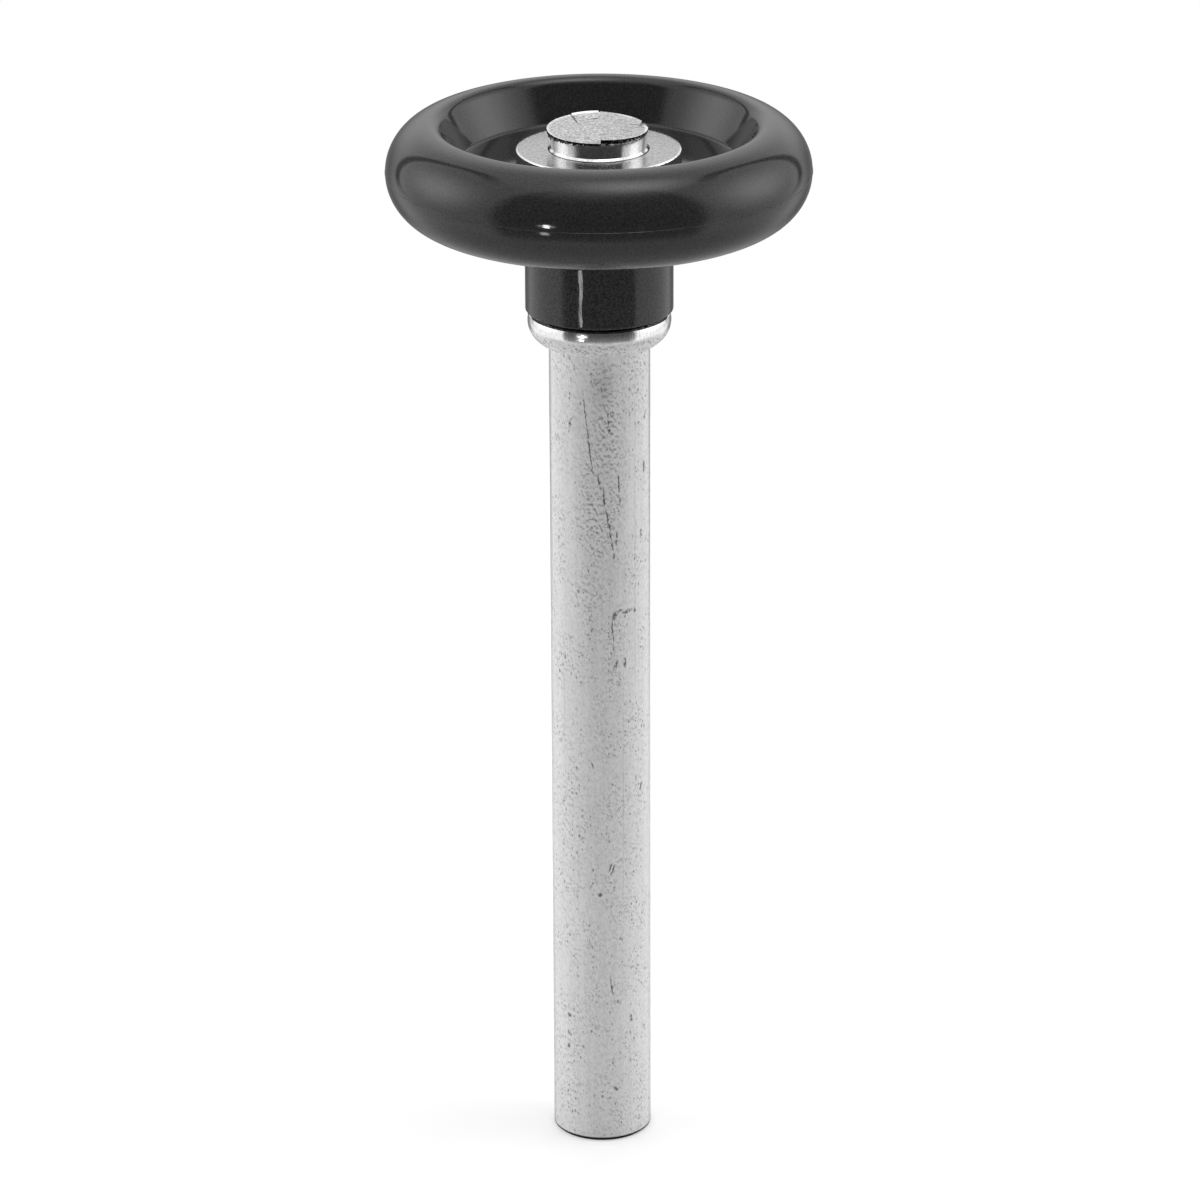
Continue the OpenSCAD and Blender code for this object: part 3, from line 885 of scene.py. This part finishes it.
def light_rims(tree, aside, height):
    """How black a place is with the rims of the side lights: a rounded frame round each, strongest
    toward the back."""
    across = add(tree, "Math", {0: aside, 1: RIM_AT[0] * DEG}, operation="SUBTRACT")
    across = add(tree, "Math", {0: across, 1: RIM_SIZE[0] * DEG}, operation="DIVIDE")
    above = add(tree, "Math", {0: height, 1: RIM_AT[1] * DEG}, operation="SUBTRACT")
    above = add(tree, "Math", {0: above, 1: RIM_SIZE[1] * DEG}, operation="DIVIDE")
    across = add(tree, "Math", {0: across, 1: 4.0}, operation="POWER")
    above = add(tree, "Math", {0: above, 1: 4.0}, operation="POWER")
    outward = add(tree, "Math", {0: across, 1: above}, operation="ADD")
    outward = add(tree, "Math", {0: outward, 1: 0.25}, operation="POWER")
    off_rim = add(tree, "Math", {0: outward, 1: 1.0}, operation="SUBTRACT")
    off_rim = add(tree, "Math", {0: off_rim}, operation="ABSOLUTE")
    rim = add(tree, "MapRange", {"Value": off_rim, "From Min": 0.12, "From Max": 0.03},
              interpolation_type="SMOOTHSTEP")
    rear = add(tree, "MapRange", {"Value": aside, "From Min": 85 * DEG, "From Max": 128 * DEG,
                                  "To Min": 0.1, "To Max": 0.85}, interpolation_type="SMOOTHSTEP")
    raised = add(tree, "MapRange", {"Value": height, "From Min": -16 * DEG, "From Max": -4 * DEG})
    rear = add(tree, "Math", {0: rear, 1: raised}, operation="MULTIPLY")
    return add(tree, "Math", {0: rim, 1: rear}, operation="MULTIPLY")


def dark_side(tree, aside, height):
    """Where the dark side toward the viewer is, and its strength, darker higher up."""
    within = add(tree, "MapRange", {"Value": aside, "From Min": 65 * DEG, "From Max": 52 * DEG},
                 interpolation_type="SMOOTHSTEP")
    under = add(tree, "MapRange", {"Value": height, "From Min": 80 * DEG, "From Max": 46 * DEG},
                interpolation_type="SMOOTHSTEP")
    over = add(tree, "MapRange", {"Value": height, "From Min": -46 * DEG, "From Max": -34 * DEG},
               interpolation_type="SMOOTHSTEP")
    dark = add(tree, "Math", {0: within, 1: under}, operation="MULTIPLY")
    dark = add(tree, "Math", {0: dark, 1: over}, operation="MULTIPLY")
    shade = add(tree, "MapRange", {"Value": height, "From Min": -32 * DEG, "From Max": 2 * DEG,
                                   "To Min": DARK_LOW, "To Max": DARK_HIGH})
    return dark, shade


def studio():
    """A white studio: soft lights on both sides and overhead, black-rimmed, a dark side in front, and a
    white background for the camera alone."""
    world = bpy.data.worlds.new("studio")
    bpy.context.scene.world = world
    world.use_nodes = True
    tree = world.node_tree
    tree.nodes.clear()
    toward = add(tree, "TexCoord", out="Generated")
    x = add(tree, "SeparateXYZ", {0: toward}, out=0)
    y = add(tree, "SeparateXYZ", {0: toward}, out=1)
    z = add(tree, "SeparateXYZ", {0: toward}, out=2)
    front = add(tree, "Math", {0: y, 1: -1.0}, operation="MULTIPLY")
    azimuth = add(tree, "Math", {0: x, 1: front}, operation="ARCTAN2")
    aside = add(tree, "Math", {0: azimuth}, operation="ABSOLUTE")
    height = add(tree, "Math", {0: z}, operation="ARCSINE")

    light = lit_walls(tree, toward, aside, height)
    kept = add(tree, "Math", {0: 1.0, 1: light_rims(tree, aside, height)}, operation="SUBTRACT")
    light = add(tree, "Math", {0: light, 1: kept}, operation="MULTIPLY")
    dark, shade = dark_side(tree, aside, height)
    seen = add(tree, "Mix", {0: dark, 2: light, 3: shade}, data_type="FLOAT")
    rays = add(tree, "LightPath", out="Is Camera Ray")
    shown = add(tree, "Mix", {0: rays, 2: seen, 3: 1.0}, data_type="FLOAT")
    white = add(tree, "Background", {"Color": linear("#ffffff"), "Strength": shown})
    add(tree, "OutputWorld", {"Surface": white})


# Small lamps left of the viewer: name, degrees round, width, lower and upper end (mm), power (W)
LAMPS = [
    ("lamp_core", -26.5, 16, 72, 104, 0.055),
    ("lamp_wings", -26.5, 46, 82, 96, 0.008),
    ("lamp_foot", -28.4, 21, -12, 22, 0.019),
]
# Their distance from the stem's axis, in metres
LAMP_OUT = 0.3


def place_lamps():
    """Narrow lamps beside the camera, seen only as glints."""
    for name, turn, width, low, high, power in LAMPS:
        data = bpy.data.lights.new(name, "AREA")
        data.shape = "RECTANGLE"
        data.size = width * MM
        data.size_y = (high - low) * MM
        data.energy = power
        lamp = bpy.data.objects.new(name, data)
        bpy.context.scene.collection.objects.link(lamp)
        x, y, _ = direction(turn, 0)
        lamp.location = (LAMP_OUT * x, LAMP_OUT * y, (low + high) / 2 * MM)
        lamp.rotation_euler = Vector((-x, -y, 0)).to_track_quat("-Z", "Y").to_euler()
        lamp.visible_camera = False


# The camera: focal length and sensor width, degrees above level, distance and aim in millimetres, and a
# slight roll in radians
LENS = 165.03
SENSOR_W = 36
CAMERA_UP = 21.298
CAMERA_OUT = 613.136
CAMERA_AIM = (-0.06, 0, 64.47)
CAMERA_ROLL = 0.00403


def make_camera():
    """Camera at the height and distance of a product shot, with a long lens."""
    data = bpy.data.cameras.new("camera")
    data.lens = LENS
    data.sensor_width = SENSOR_W
    camera = bpy.data.objects.new("camera", data)
    bpy.context.scene.collection.objects.link(camera)
    bpy.context.scene.camera = camera
    elevation = CAMERA_UP * DEG
    target = Vector(CAMERA_AIM) * MM
    away = Vector((0, -math.cos(elevation), math.sin(elevation)))
    camera.location = target + CAMERA_OUT * MM * away
    camera.rotation_mode = "QUATERNION"
    level = (-away).to_track_quat("-Z", "Y")
    camera.rotation_quaternion = Quaternion(-away, CAMERA_ROLL) @ level


make_floor()
studio()
place_lamps()
make_camera()

bpy.context.scene.view_settings.view_transform = "Standard"
